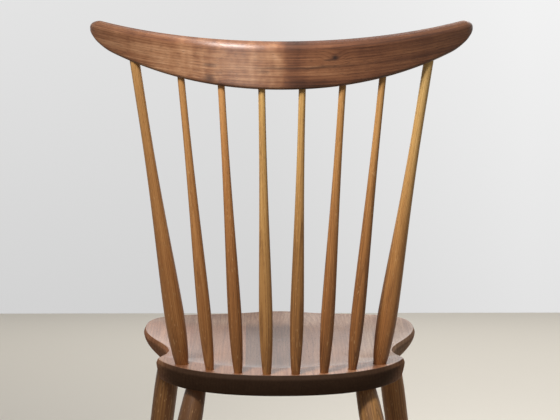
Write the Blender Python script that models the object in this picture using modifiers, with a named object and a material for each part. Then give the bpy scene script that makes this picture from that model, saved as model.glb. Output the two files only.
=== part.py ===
"""A comb-back side chair: a saddle seat, a bent crest rail, eight fanned spindles and four splayed legs.

Lengths are in metres. The chair stands on the floor at Z = 0, faces -Y and has its left side at +X.
Pieces are first placed with Y = 0 at the middle of the tail's top edge, then moved together over the origin.
In plan, a place is (across, forward): across towards +X, forward towards -Y.
"""

import math

import bmesh
import bpy
from mathutils import Matrix, Vector
from mathutils.geometry import interpolate_bezier

MM = 0.001

# Seat: the outline of its top edge, measured forward from the middle of the tail
SEAT_HEIGHT = 430 * MM
SEAT_THICKNESS = 32.5 * MM
SEAT_DEPTH = 455 * MM
SEAT_WIDTH = 425 * MM
WIDEST_SETBACK = 104 * MM
TAIL_WIDTH = 371 * MM
TAIL_CORNER_FORWARD = 119 * MM
TAIL_CORNER_EASE = 9 * MM
WAIST_INSET = 15.5 * MM
WAIST_FORWARD = 172 * MM

# Seat: how far each curve of the outline follows its end's direction, as shares of the curve's own run
TAIL_SWEEP_SHARES = (0.57, 0.59)
WAIST_SWEEP_SHARES = (0.3, 0.42)
LOBE_SWEEP_SHARES = (0.3, 0.48)
FRONT_SWEEP_SHARES = (0.97, 0.84)
TAIL_CORNER_ANGLE = math.radians(70)
WAIST_ENTRY_ANGLE = math.radians(112)

# Seat: its edge and its dished top
EDGE_BEVEL_OUT = 3.2 * MM
EDGE_BEVEL_DOWN = 6 * MM
TAIL_UNDERCUT = 5 * MM
SIDE_UNDERCUT = 16 * MM
FRONT_UNDERCUT = 22 * MM
CREASE_FORWARD = 56 * MM
CREASE_RADIUS = 242 * MM
RIM_SHARE = 0.94
DISH_DEPTH = 12 * MM
DISH_RUN = 80 * MM
DISH_POWER = 2.5
RIM_POWER = 5
POMMEL_LENGTH = 150 * MM
POMMEL_WIDTH = 114 * MM
POMMEL_RISE = 4 * MM
FRONT_DROP = 0.5 * MM
SIDE_ROW_SHARES = (0, 0.1, 0.25, 0.45, 0.7, 1)
DECK_ROW_SHARES = (0, 0.5, 1)
DISH_ROW_SHARES = (0.05, 0.11, 0.18, 0.27, 0.38, 0.51, 0.66, 0.83)
OUTLINE_STEPS = (11, 4, 6, 9, 13)

# Crest rail: an arc in a plane square to the leaned back, flat along its top edge and swept up below
LEAN = math.radians(15.6)
CREST_WIDTH = 540 * MM
CREST_BOW = 93 * MM
CREST_HEIGHT = 69 * MM
CREST_TIP_HEIGHT = 32 * MM
CREST_SWEEP_POWER = 2.25
CREST_THICKNESS = 24 * MM
CREST_TIP_THICKNESS = 19 * MM
CREST_EDGE_ROUND = 8 * MM
CREST_TIP_TOP_ROUND = 13 * MM
CREST_TIP_ROUND_LENGTH = 14 * MM
CREST_TIP_SWEEP_LENGTH = 34 * MM
CREST_BODY_STEPS = 26
CREST_TIP_STEPS = 6
CREST_CORNER_STEPS = 4

# Spindles: eight in a fan, from a tight arc on the seat to the crest's wide one
SPINDLE_COUNT = 8
SPINDLE_LENGTH = 452 * MM
SPINDLE_EDGE_INSET = 10 * MM
SPINDLE_SIDE_INSET = 38 * MM
SPINDLE_BASE_BOW = 70.6 * MM
CREST_OVERHANG = 63 * MM
OUTER_TOP_GAP = 65.5 * MM
CREST_SOCKET_DEPTH = 22 * MM
SWELL_POWER = 0.75
INNER_SPINDLE = {
    "base": 12.7 * MM,
    "swell": 20 * MM,
    "top": 10 * MM,
    "swell_up": 92 * MM,
    "neck": 18 * MM,
}
OUTER_SPINDLE = {
    "base": 20.3 * MM,
    "swell": 29.4 * MM,
    "top": 14 * MM,
    "swell_up": 80 * MM,
    "neck": 80 * MM,
}
SPINDLE_SIDES = 16
SPINDLE_ROWS = 12

# Legs: one turning, set at two slopes
LEG_TENON = 30 * MM
LEG_SWELL = 37.3 * MM
LEG_SWELL_DOWN = 80 * MM
LEG_FOOT = 24 * MM
LEG_TAPER_POWER = 1.5
FRONT_LEG_INSET = 40 * MM
FRONT_LEG_SETBACK = 100 * MM
FRONT_SPLAY = math.radians(7.4)
FRONT_RAKE = math.radians(4)
REAR_LEG_INSET = 60 * MM
REAR_LEG_FORWARD = 79 * MM
REAR_SPLAY = math.radians(11.6)
REAR_RAKE = math.radians(15)
LEG_SIDES = 20
LEG_ROWS = 12

# Stretchers: an H, level, with each end turned down to a tenon
STRETCHER_HEIGHT = 165 * MM
STRETCHER_TENON = 14 * MM
STRETCHER_SWELL = 23 * MM
STRETCHER_NECK = 6 * MM
STRETCHER_SIDES = 16
STRETCHER_ROWS = 10

# Joints between the pieces: blind round sockets
CLEARANCE = 0.3 * MM
SOCKET_WEB = 3 * MM
TENON_PROUD = 4 * MM
OVERRUN = 15 * MM

# Screw modifiers close a turned piece's ends where its profile meets the axis
MERGE_DISTANCE = 0.01 * MM
SMOOTH_ANGLE = math.radians(35)


# Materials and collections


def wood(name, colour, roughness):
    """A plain Principled material in the wood's colour."""
    material = bpy.data.materials.new(name)
    material.use_nodes = True
    shader = material.node_tree.nodes["Principled BSDF"]
    shader.inputs["Base Color"].default_value = (*colour, 1)
    shader.inputs["Roughness"].default_value = roughness
    shader.inputs["Metallic"].default_value = 0
    material.diffuse_color = (*colour, 1)
    return material


def clear_scene():
    for old in list(bpy.data.objects):
        bpy.data.objects.remove(old, do_unlink=True)


def new_collection(name):
    collection = bpy.data.collections.new(name)
    bpy.context.scene.collection.children.link(collection)
    return collection


def add_object(name, mesh, collection, material=None):
    """Puts a mesh in the scene as one named piece of the chair, or as a cutter."""
    piece = bpy.data.objects.new(name, mesh)
    collection.objects.link(piece)
    piece.parent = bpy.data.objects["chair_frame"]
    if material:
        mesh.materials.append(material)
    else:
        piece.hide_render = True
        piece.display_type = "WIRE"
    return piece


# Curves that several pieces share


def arc_radius(half_width, bow):
    """The radius of an arc that comes forward by bow at half_width from its middle."""
    return (half_width**2 + bow**2) / (2 * bow)


def arc_rise(radius, across):
    """How far such an arc has come forward at a place across it."""
    return radius - math.sqrt(radius**2 - across**2)


def smooth_step(share):
    """An S curve from 0 to 1, held at both ends."""
    held = min(max(share, 0), 1)
    return held * held * (3 - 2 * held)


def blend(start, end, share):
    return start + (end - start) * share


def in_world(across, forward, height):
    return Vector((across, -forward, height))


# Turned pieces


def turned(name, start, end, rows, sides, collection, material=None):
    """A turning between two points. Each row is (distance from the start, diameter), start first."""
    outline = [(0, rows[-1][0])]
    outline += [(diameter / 2, along) for along, diameter in reversed(rows)]
    outline += [(0, rows[0][0])]
    mesh = bpy.data.meshes.new(name)
    edges = [(i, i + 1) for i in range(len(outline) - 1)]
    mesh.from_pydata([(radius, 0, along) for radius, along in outline], edges, [])
    piece = add_object(name, mesh, collection, material)
    piece.location = start
    piece.rotation_mode = "QUATERNION"
    piece.rotation_quaternion = (end - start).to_track_quat("Z", "Y")
    screw = piece.modifiers.new("Turning", "SCREW")
    screw.axis = "Z"
    screw.steps = sides
    screw.render_steps = sides
    screw.use_merge_vertices = True
    screw.merge_threshold = MERGE_DISTANCE
    screw.use_smooth_shade = True
    return piece


def socket(target, name, start, end, diameter, sides, cutters):
    """Drills a round socket into a piece along the line of the tenon that fills it."""
    run = (end - start).length
    cutter = turned(name, start, end, [(0, diameter), (run, diameter)], sides, cutters)
    cut(target, cutter)


def cut(target, cutter):
    boolean = target.modifiers.new(cutter.name, "BOOLEAN")
    boolean.operation = "DIFFERENCE"
    boolean.solver = "EXACT"
    boolean.object = cutter


# Seat


def seat_half_outline():
    """The top edge's right half, as (across, forward), from the middle of the tail to the middle of the front."""
    tail_half = TAIL_WIDTH / 2
    waist_half = tail_half - WAIST_INSET
    widest_half = SEAT_WIDTH / 2
    widest_forward = SEAT_DEPTH - WIDEST_SETBACK
    into_corner = Vector((math.cos(TAIL_CORNER_ANGLE), math.sin(TAIL_CORNER_ANGLE)))
    out_of_corner = Vector((math.cos(WAIST_ENTRY_ANGLE), math.sin(WAIST_ENTRY_ANGLE)))
    corner = Vector((tail_half, TAIL_CORNER_FORWARD))
    before = corner - into_corner * TAIL_CORNER_EASE
    after = corner + out_of_corner * TAIL_CORNER_EASE
    tail = Vector((0, 0))
    waist = Vector((waist_half, WAIST_FORWARD))
    widest = Vector((widest_half, widest_forward))
    front = Vector((0, SEAT_DEPTH))
    square_on = Vector((1, 0))
    ahead = Vector((0, 1))
    waist_run = WAIST_FORWARD - after.y
    lobe_run = widest_forward - WAIST_FORWARD
    runs = (
        (tail, square_on * tail_half * TAIL_SWEEP_SHARES[0], into_corner * before.y * TAIL_SWEEP_SHARES[1], before),
        (before, corner - before, after - corner, after),
        (after, out_of_corner * waist_run * WAIST_SWEEP_SHARES[0], ahead * waist_run * WAIST_SWEEP_SHARES[1], waist),
        (waist, ahead * lobe_run * LOBE_SWEEP_SHARES[0], ahead * lobe_run * LOBE_SWEEP_SHARES[1], widest),
        (
            widest,
            ahead * WIDEST_SETBACK * FRONT_SWEEP_SHARES[0],
            -square_on * widest_half * FRONT_SWEEP_SHARES[1],
            front,
        ),
    )
    outline = []
    for (start, leaving, arriving, end), steps in zip(runs, OUTLINE_STEPS):
        points = interpolate_bezier(start, start + leaving, end - arriving, end, steps + 1)
        outline += points[:-1]
    return outline + [front]


def seat_middle():
    """The place that the seat's rings are drawn in towards."""
    return Vector((0, (WAIST_FORWARD + SEAT_DEPTH - WIDEST_SETBACK) / 2))


def undercut_at(forward):
    """How far the underside's edge lies inside the top's: little at the tail, more at the sides and the front."""
    widest_forward = SEAT_DEPTH - WIDEST_SETBACK
    to_side = smooth_step((forward - TAIL_CORNER_FORWARD) / (widest_forward - TAIL_CORNER_FORWARD))
    to_front = smooth_step((forward - widest_forward) / WIDEST_SETBACK)
    return blend(blend(TAIL_UNDERCUT, SIDE_UNDERCUT, to_side), FRONT_UNDERCUT, to_front)


def crease_share(edge):
    """Where the deck's crease crosses the line from the seat's middle to an edge point, as a share of it."""
    middle = seat_middle()
    centre = Vector((0, CREASE_FORWARD + CREASE_RADIUS))
    along = edge - middle
    offset = middle - centre
    a = along.dot(along)
    b = along.dot(offset)
    c = offset.dot(offset) - CREASE_RADIUS**2
    return (-b + math.sqrt(b * b - a * c)) / a


def front_shape(across, forward):
    """The thigh hollows drop towards the front edge, and a pommel rises between them."""
    share = smooth_step((forward - SEAT_DEPTH + POMMEL_LENGTH) / POMMEL_LENGTH)
    pommel = math.exp(-((2 * across / POMMEL_WIDTH) ** 2))
    return share * (POMMEL_RISE * pommel - FRONT_DROP * (1 - pommel))


def dish_at(place, ring_share):
    """The dish's depth: it falls away at the deck's crease and dies out towards the seat's edge."""
    centre = Vector((0, CREASE_FORWARD + CREASE_RADIUS))
    past_crease = CREASE_RADIUS - (place - centre).length
    share = min(max(past_crease / DISH_RUN, 0), 1)
    return DISH_DEPTH * (1 - (1 - share) ** DISH_POWER) * (1 - ring_share**RIM_POWER)


def top_height(place, ring_share):
    return SEAT_HEIGHT + front_shape(*place) - dish_at(place, ring_share)


def seat_rings():
    """The seat's surface as closed rings of points, from the edge of the flat underside to near the top's middle."""
    half = seat_half_outline()
    mirrored = [Vector((-point.x, point.y)) for point in reversed(half[1:-1])]
    edge = half + mirrored
    middle = seat_middle()
    rings = []
    for share in SIDE_ROW_SHARES:
        ring = []
        for point in edge:
            inset = undercut_at(point.y) * (1 - share) ** 2 - EDGE_BEVEL_OUT * share
            drawn = middle + (point - middle) * (1 - inset / (point - middle).length)
            top = top_height(point, 1) - EDGE_BEVEL_DOWN
            ring.append(in_world(*drawn, blend(SEAT_HEIGHT - SEAT_THICKNESS, top, share)))
        rings.append(ring)
    rims = [min(crease_share(point), RIM_SHARE) for point in edge]
    for share in DECK_ROW_SHARES:
        ring = []
        for point, rim in zip(edge, rims):
            ring_share = blend(1, rim, share)
            place = middle + (point - middle) * ring_share
            ring.append(in_world(*place, top_height(place, ring_share)))
        rings.append(ring)
    for share in DISH_ROW_SHARES:
        ring = []
        for point, rim in zip(edge, rims):
            place = middle + (point - middle) * rim * (1 - share)
            ring.append(in_world(*place, top_height(place, rim * (1 - share))))
        rings.append(ring)
    return rings


def add_seat(collection, material):
    """Lofts the seat's rings into one board, flat underneath and closed at the bottom of its dish."""
    form = bmesh.new()
    rows = [[form.verts.new(point) for point in ring] for ring in seat_rings()]
    form.faces.new(list(reversed(rows[0])))
    count = len(rows[0])
    for lower, upper in zip(rows, rows[1:]):
        for i in range(count):
            after = (i + 1) % count
            form.faces.new((lower[i], lower[after], upper[after], upper[i]))
    middle = form.verts.new(in_world(*seat_middle(), top_height(seat_middle(), 0)))
    for i in range(count):
        form.faces.new((rows[-1][i], rows[-1][(i + 1) % count], middle))
    return finished(form, "seat", collection, material)


def finished(form, name, collection, material):
    """Makes a lofted form a piece, faces out and shaded smooth but for its sharp edges."""
    bmesh.ops.recalc_face_normals(form, faces=form.faces)
    mesh = bpy.data.meshes.new(name)
    form.to_mesh(mesh)
    form.free()
    mesh.shade_smooth()
    mesh.set_sharp_from_angle(angle=SMOOTH_ANGLE)
    return add_object(name, mesh, collection, material)


# Crest rail


def crest_frame():
    """The crest's own frame: origin under its middle, Z up along the lean, -Y forward."""
    foot = in_world(0, SPINDLE_EDGE_INSET, SEAT_HEIGHT)
    up = Vector((0, math.sin(LEAN), math.cos(LEAN)))
    return Matrix.Translation(foot + up * SPINDLE_LENGTH) @ Matrix.Rotation(-LEAN, 4, "X")


def crest_height_at(across):
    share = abs(2 * across / CREST_WIDTH)
    return blend(CREST_HEIGHT, CREST_TIP_HEIGHT, share**CREST_SWEEP_POWER)


def crest_point(across, height):
    """A place on the crest's middle surface, in the crest's own frame."""
    radius = arc_radius(CREST_WIDTH / 2, CREST_BOW)
    return Vector((across, -arc_rise(radius, across), height))


def quarter_rounding(share):
    """How far a quarter ellipse has fallen at a share of its run."""
    return 1 - math.sqrt(max(1 - share * share, 0))


def crest_section(across):
    """One rounded section of the crest, square to its arc, in the crest's own frame."""
    half_width = CREST_WIDTH / 2
    left = half_width - abs(across)
    fall = quarter_rounding(max(1 - left / CREST_TIP_ROUND_LENGTH, 0))
    sweep = quarter_rounding(max(1 - left / CREST_TIP_SWEEP_LENGTH, 0))
    low = CREST_HEIGHT - crest_height_at(across)
    top = CREST_HEIGHT - fall * CREST_TIP_TOP_ROUND
    bottom = blend(low, CREST_HEIGHT - CREST_TIP_TOP_ROUND, sweep)
    share = (across / half_width) ** 2
    thickness = blend(CREST_THICKNESS, CREST_TIP_THICKNESS, share) * (1 - fall)
    rounding = min(CREST_EDGE_ROUND, thickness / 2, (top - bottom) / 2)
    turn = math.asin(across / arc_radius(half_width, CREST_BOW))
    outward = Vector((math.sin(turn), math.cos(turn), 0))
    middle = crest_point(across, (top + bottom) / 2)
    section = []
    for quarter in range(4):
        side = 1 if quarter in (0, 3) else -1
        level = 1 if quarter in (0, 1) else -1
        for step in range(CREST_CORNER_STEPS + 1):
            angle = math.pi / 2 * (quarter + step / CREST_CORNER_STEPS)
            through = side * (thickness / 2 - rounding) + rounding * math.cos(angle)
            height = level * ((top - bottom) / 2 - rounding) + rounding * math.sin(angle)
            section.append(middle + outward * through + Vector((0, 0, height)))
    return section


def crest_stations():
    """Where the crest's sections stand: evenly along its body, closer and closer into each rounded tip."""
    half_width = CREST_WIDTH / 2
    body_half = half_width - CREST_TIP_ROUND_LENGTH
    body = [body_half * (2 * i / CREST_BODY_STEPS - 1) for i in range(CREST_BODY_STEPS + 1)]
    quarter = [math.pi / 2 * i / CREST_TIP_STEPS for i in range(1, CREST_TIP_STEPS)]
    tip = [body_half + CREST_TIP_ROUND_LENGTH * math.sin(angle) for angle in quarter]
    return [-place for place in reversed(tip)] + body + tip


def add_crest(collection, material):
    """Lofts the crest's sections from tip to tip and closes each tip with a point."""
    form = bmesh.new()
    rows = [[form.verts.new(point) for point in crest_section(across)] for across in crest_stations()]
    count = len(rows[0])
    for near, far in zip(rows, rows[1:]):
        for i in range(count):
            after = (i + 1) % count
            form.faces.new((near[i], near[after], far[after], far[i]))
    for row, side in ((rows[0], -1), (rows[-1], 1)):
        tip = form.verts.new(crest_point(side * CREST_WIDTH / 2, CREST_HEIGHT - CREST_TIP_TOP_ROUND))
        for i in range(count):
            form.faces.new((row[i], row[(i + 1) % count], tip))
    crest = finished(form, "crest_rail", collection, material)
    crest.matrix_local = crest_frame()
    return crest


# Spindles


def swelled_diameter(up, length, turning):
    """A spindle's diameter at a height above the seat: it swells low down and slims to a straight neck."""
    if up < turning["swell_up"]:
        share = (1 - max(up, 0) / turning["swell_up"]) ** 2
        return blend(turning["swell"], turning["base"], share)
    run = length - turning["neck"] - turning["swell_up"]
    share = min((up - turning["swell_up"]) / run, 1) ** SWELL_POWER
    return blend(turning["swell"], turning["top"], (1 - math.cos(math.pi * share)) / 2)


def spindle_places():
    """Each spindle's place across the chair, on the seat and on the crest, left to right."""
    outer_base = TAIL_WIDTH / 2 - SPINDLE_SIDE_INSET
    outer_top = CREST_WIDTH / 2 - CREST_OVERHANG
    inner_top = outer_top - OUTER_TOP_GAP
    middle = (SPINDLE_COUNT - 1) / 2
    places = []
    for i in range(SPINDLE_COUNT):
        offset = middle - i
        outer = abs(offset) == middle
        base = outer_base * offset / middle
        top = math.copysign(outer_top, offset) if outer else inner_top * offset / (middle - 1)
        places.append((base, top, outer))
    return places


def add_spindles(seat, crest, collection, cutters, material):
    base_radius = arc_radius(TAIL_WIDTH / 2 - SPINDLE_SIDE_INSET, SPINDLE_BASE_BOW)
    frame = crest_frame()
    seat_depth = (SEAT_THICKNESS - SOCKET_WEB) / 2
    for i, (base, top, outer) in enumerate(spindle_places()):
        name = f"back_spindle_{i + 1}"
        turning = OUTER_SPINDLE if outer else INNER_SPINDLE
        foot = in_world(base, SPINDLE_EDGE_INSET + arc_rise(base_radius, base), SEAT_HEIGHT)
        entry = frame @ crest_point(top, CREST_HEIGHT - crest_height_at(top))
        along = (entry - foot).normalized()
        length = (entry - foot).length
        start = foot - along * seat_depth
        end = entry + along * CREST_SOCKET_DEPTH
        rows = [(0, turning["base"]), (seat_depth + TENON_PROUD, turning["base"])]
        for step in range(1, SPINDLE_ROWS + 1):
            up = blend(TENON_PROUD, length - TENON_PROUD, step / SPINDLE_ROWS)
            rows.append((seat_depth + up, swelled_diameter(up, length, turning)))
        rows.append((seat_depth + length + CREST_SOCKET_DEPTH, turning["top"]))
        turned(name, start, end, rows, SPINDLE_SIDES, collection, material)
        low = start - along * CLEARANCE
        high = foot + along * OVERRUN
        socket(seat, f"{name}_seat_socket", low, high, turning["base"] + 2 * CLEARANCE, SPINDLE_SIDES, cutters)
        low = entry - along * OVERRUN
        high = end + along * CLEARANCE
        socket(crest, f"{name}_crest_socket", low, high, turning["top"] + 2 * CLEARANCE, SPINDLE_SIDES, cutters)


# Legs and stretchers


def leg_diameter(down):
    """A leg's diameter at a distance below the seat: it swells from the tenon, then tapers to the foot."""
    if down < LEG_SWELL_DOWN:
        return blend(LEG_SWELL, LEG_TENON, (1 - max(down, 0) / LEG_SWELL_DOWN) ** 2)
    run = SEAT_HEIGHT - SEAT_THICKNESS - LEG_SWELL_DOWN
    share = min((down - LEG_SWELL_DOWN) / run, 1)
    return blend(LEG_SWELL, LEG_FOOT, share**LEG_TAPER_POWER)


def leg_axis(front, side):
    """A leg's place under the seat and its direction downwards, scaled to fall 1 for each 1 along it."""
    if front:
        across = SEAT_WIDTH / 2 - FRONT_LEG_INSET
        forward = SEAT_DEPTH - FRONT_LEG_SETBACK
        slope = (math.tan(FRONT_SPLAY), math.tan(FRONT_RAKE))
    else:
        across = TAIL_WIDTH / 2 - REAR_LEG_INSET
        forward = REAR_LEG_FORWARD
        slope = (math.tan(REAR_SPLAY), -math.tan(REAR_RAKE))
    top = in_world(side * across, forward, SEAT_HEIGHT - SEAT_THICKNESS)
    return top, Vector((side * slope[0], -slope[1], -1))


def add_leg(name, front, side, seat, collection, cutters, material):
    top, fall = leg_axis(front, side)
    down = fall.normalized()
    tenon = (SEAT_THICKNESS - SOCKET_WEB) / 2
    length = top.z * fall.length
    start = top + down * (length + OVERRUN)
    end = top - down * tenon
    rows = [(0, LEG_FOOT)]
    for step in range(LEG_ROWS):
        below = blend(length, 0, step / LEG_ROWS)
        rows.append((OVERRUN + length - below, leg_diameter(below - TENON_PROUD)))
    rows.append((OVERRUN + length - TENON_PROUD, LEG_TENON))
    rows.append((OVERRUN + length + tenon, LEG_TENON))
    leg = turned(name, start, end, rows, LEG_SIDES, collection, material)
    low = top + down * OVERRUN
    high = end - down * CLEARANCE
    socket(seat, f"{name}_socket", low, high, LEG_TENON + 2 * CLEARANCE, LEG_SIDES, cutters)
    return leg


def leg_point(front, side, height):
    """Where a leg's axis stands at a height above the floor, and the leg's diameter there."""
    top, fall = leg_axis(front, side)
    drop = top.z - height
    return top + fall * drop, leg_diameter(drop * fall.length - TENON_PROUD)


def add_stretcher(name, start, end, necks, collection, material):
    """A turning that swells between two straight necks, each measured from the end on its neighbour's axis."""
    length = (end - start).length
    body = length - sum(necks)
    rows = [(0, STRETCHER_TENON)]
    for step in range(STRETCHER_ROWS + 1):
        share = step / STRETCHER_ROWS
        diameter = blend(STRETCHER_TENON, STRETCHER_SWELL, math.sin(math.pi * share))
        rows.append((necks[0] + body * share, diameter))
    rows.append((length, STRETCHER_TENON))
    return turned(name, start, end, rows, STRETCHER_SIDES, collection, material)


def stretcher_socket(target, name, start, inward, neck, cutters):
    """A socket for a stretcher's end, from past its tip to outside the piece that holds it."""
    low = start - inward * CLEARANCE
    high = start + inward * (neck + OVERRUN)
    socket(target, name, low, high, STRETCHER_TENON + 2 * CLEARANCE, STRETCHER_SIDES, cutters)


def add_stretchers(legs, collection, cutters, material):
    sides = {}
    for side, hand in ((1, "left"), (-1, "right")):
        front, front_diameter = leg_point(True, side, STRETCHER_HEIGHT)
        rear, rear_diameter = leg_point(False, side, STRETCHER_HEIGHT)
        necks = (front_diameter / 2 + STRETCHER_NECK, rear_diameter / 2 + STRETCHER_NECK)
        name = f"stretcher_{hand}"
        sides[side] = add_stretcher(name, front, rear, necks, collection, material)
        back = (rear - front).normalized()
        stretcher_socket(legs[True, side], f"{name}_front_socket", front, back, necks[0], cutters)
        stretcher_socket(legs[False, side], f"{name}_rear_socket", rear, -back, necks[1], cutters)
    left = (leg_point(True, 1, STRETCHER_HEIGHT)[0] + leg_point(False, 1, STRETCHER_HEIGHT)[0]) / 2
    right = Vector((-left.x, left.y, left.z))
    neck = STRETCHER_SWELL / 2 + STRETCHER_NECK
    add_stretcher("stretcher_cross", left, right, (neck, neck), collection, material)
    across = (right - left).normalized()
    stretcher_socket(sides[1], "stretcher_cross_left_socket", left, across, neck, cutters)
    stretcher_socket(sides[-1], "stretcher_cross_right_socket", right, -across, neck, cutters)


def add_floor_cutter(cutters):
    """A slab under the floor that trims the feet level, wide enough for all four."""
    front = leg_point(True, 1, 0)[0]
    rear = leg_point(False, 1, 0)[0]
    across = 2 * max(front.x, rear.x) + 4 * LEG_FOOT
    along = rear.y - front.y + 4 * LEG_FOOT
    thickness = 4 * OVERRUN
    form = bmesh.new()
    bmesh.ops.create_cube(form, size=1)
    bmesh.ops.scale(form, vec=(across, along, thickness), verts=form.verts)
    mesh = bpy.data.meshes.new("floor")
    form.to_mesh(mesh)
    form.free()
    slab = add_object("floor", mesh, cutters)
    slab.location = (0, (front.y + rear.y) / 2, -thickness / 2)
    return slab


# The whole chair


def centre_over_origin(frame, pieces):
    """Moves the chair forward or back until its outer size is centred on the origin."""
    view = bpy.context.evaluated_depsgraph_get()
    reaches = []
    for piece in pieces:
        shape = piece.evaluated_get(view)
        reaches += [(piece.matrix_world @ vertex.co).y for vertex in shape.data.vertices]
    frame.location.y = -(min(reaches) + max(reaches)) / 2


def build_chair():
    clear_scene()
    parts = new_collection("comb_back_side_chair")
    cutters = new_collection("cutters")
    frame = bpy.data.objects.new("chair_frame", None)
    parts.objects.link(frame)
    walnut = wood("walnut", (0.105, 0.048, 0.026), 0.42)
    oak = wood("oak", (0.30, 0.145, 0.048), 0.45)
    seat = add_seat(parts, walnut)
    crest = add_crest(parts, walnut)
    add_spindles(seat, crest, parts, cutters, oak)
    floor = add_floor_cutter(cutters)
    legs = {}
    for front, end in ((True, "front"), (False, "rear")):
        for side, hand in ((1, "left"), (-1, "right")):
            leg = add_leg(f"leg_{end}_{hand}", front, side, seat, parts, cutters, oak)
            cut(leg, floor)
            legs[front, side] = leg
    add_stretchers(legs, parts, cutters, oak)
    bpy.context.view_layer.update()
    centre_over_origin(frame, [piece for piece in parts.objects if piece.type == "MESH"])
    bpy.context.view_layer.update()


build_chair()
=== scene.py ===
import math

import bmesh
import bpy
from mathutils import Matrix, Vector
from mathutils.geometry import interpolate_bezier


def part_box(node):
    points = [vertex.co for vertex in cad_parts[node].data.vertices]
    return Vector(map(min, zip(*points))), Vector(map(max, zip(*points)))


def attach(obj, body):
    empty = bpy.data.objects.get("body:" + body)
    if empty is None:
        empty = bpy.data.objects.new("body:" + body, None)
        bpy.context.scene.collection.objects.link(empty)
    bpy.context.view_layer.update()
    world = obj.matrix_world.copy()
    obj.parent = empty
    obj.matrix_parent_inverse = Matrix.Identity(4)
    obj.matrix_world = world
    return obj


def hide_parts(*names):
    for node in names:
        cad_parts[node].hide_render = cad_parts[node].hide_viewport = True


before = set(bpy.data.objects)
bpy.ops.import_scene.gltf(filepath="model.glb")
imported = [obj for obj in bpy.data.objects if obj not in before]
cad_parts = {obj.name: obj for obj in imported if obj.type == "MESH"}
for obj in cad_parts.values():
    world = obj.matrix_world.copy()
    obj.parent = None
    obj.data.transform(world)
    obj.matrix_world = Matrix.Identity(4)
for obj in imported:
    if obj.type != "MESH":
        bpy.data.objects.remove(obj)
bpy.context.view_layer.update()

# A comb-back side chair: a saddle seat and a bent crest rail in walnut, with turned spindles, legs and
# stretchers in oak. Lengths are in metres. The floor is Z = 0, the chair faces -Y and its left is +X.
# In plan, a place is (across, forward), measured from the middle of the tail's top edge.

MM = 0.001

# Seat: the outline of its top edge
SEAT_HEIGHT = 430 * MM
SEAT_THICKNESS = 32.5 * MM
SEAT_DEPTH = 455 * MM
SEAT_WIDTH = 425 * MM
WIDEST_SETBACK = 104 * MM
TAIL_WIDTH = 371 * MM
TAIL_CORNER_FORWARD = 119 * MM
TAIL_CORNER_EASE = 9 * MM
WAIST_INSET = 15.5 * MM
WAIST_FORWARD = 172 * MM
TAIL_SWEEP_SHARES = (0.57, 0.59)
WAIST_SWEEP_SHARES = (0.3, 0.42)
LOBE_SWEEP_SHARES = (0.3, 0.48)
FRONT_SWEEP_SHARES = (0.97, 0.84)
CORNER_SWEEP_SHARES = (1, 1)
TAIL_CORNER_ANGLE = math.radians(70)
WAIST_ENTRY_ANGLE = math.radians(112)
OUTLINE_STEPS = (44, 12, 22, 30, 48)

# Seat: its edge, its dished top and the boards it is glued up from
EDGE_BEVEL_OUT = 3.2 * MM
EDGE_BEVEL_DOWN = 6 * MM
TAIL_UNDERCUT = 5 * MM
SIDE_UNDERCUT = 16 * MM
FRONT_UNDERCUT = 22 * MM
ARRIS_EASE = 1 * MM
UNDER_EASE = 2.5 * MM
UNDER_MARGIN = 12 * MM
UNDER_WEAR = 0.4
DECK_MARGIN = 3 * MM
CREASE_FORWARD = 56 * MM
CREASE_RADIUS = 242 * MM
RIM_SHARE = 0.94
DISH_DEPTH = 12 * MM
DISH_RUN = 80 * MM
DISH_POWER = 2.5
RIM_POWER = 5
POMMEL_LENGTH = 150 * MM
POMMEL_WIDTH = 114 * MM
POMMEL_RISE = 4 * MM
FRONT_DROP = 0.5 * MM
CORNER_STEPS = 4
SIDE_ROWS = 10
DECK_ROWS = 7
DISH_ROWS = 30
DISH_ROW_POWER = 1.5
BOARD_JOINTS = (-113 * MM, -30 * MM, 53 * MM, 136 * MM)
EDGE_FACING = 0.75

# Crest rail: an arc in a plane square to the leaned back
LEAN = math.radians(15.6)
CREST_WIDTH = 540 * MM
CREST_BOW = 93 * MM
CREST_HEIGHT = 69 * MM
CREST_TIP_HEIGHT = 32 * MM
CREST_SWEEP_POWER = 2.25
CREST_THICKNESS = 24 * MM
CREST_TIP_THICKNESS = 19 * MM
CREST_EDGE_ROUND = 8 * MM
CREST_TIP_TOP_ROUND = 13 * MM
CREST_TIP_ROUND_LENGTH = 14 * MM
CREST_TIP_SWEEP_LENGTH = 34 * MM
CREST_BODY_STEPS = 110
CREST_TIP_STEPS = 18
CREST_CORNER_STEPS = 9
CREST_FLAT_SHARES = (0.04, 0.2, 0.4, 0.6, 0.8, 0.96)
CREST_DRAWN_IN = 0.6 * MM

# Spindles: eight in a fan, from a tight arc on the seat to the crest's wide one
SPINDLE_COUNT = 8
SPINDLE_LENGTH = 452 * MM
SPINDLE_EDGE_INSET = 10 * MM
SPINDLE_SIDE_INSET = 38 * MM
SPINDLE_BASE_BOW = 70.6 * MM
CREST_OVERHANG = 63 * MM
OUTER_TOP_GAP = 65.5 * MM
CREST_SOCKET_DEPTH = 22 * MM
SWELL_POWER = 0.75
INNER_SPINDLE = {"base": 12.7 * MM, "swell": 20 * MM, "top": 10 * MM, "swell_up": 92 * MM, "neck": 18 * MM}
OUTER_SPINDLE = {"base": 20.3 * MM, "swell": 29.4 * MM, "top": 14 * MM, "swell_up": 80 * MM, "neck": 80 * MM}

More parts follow.
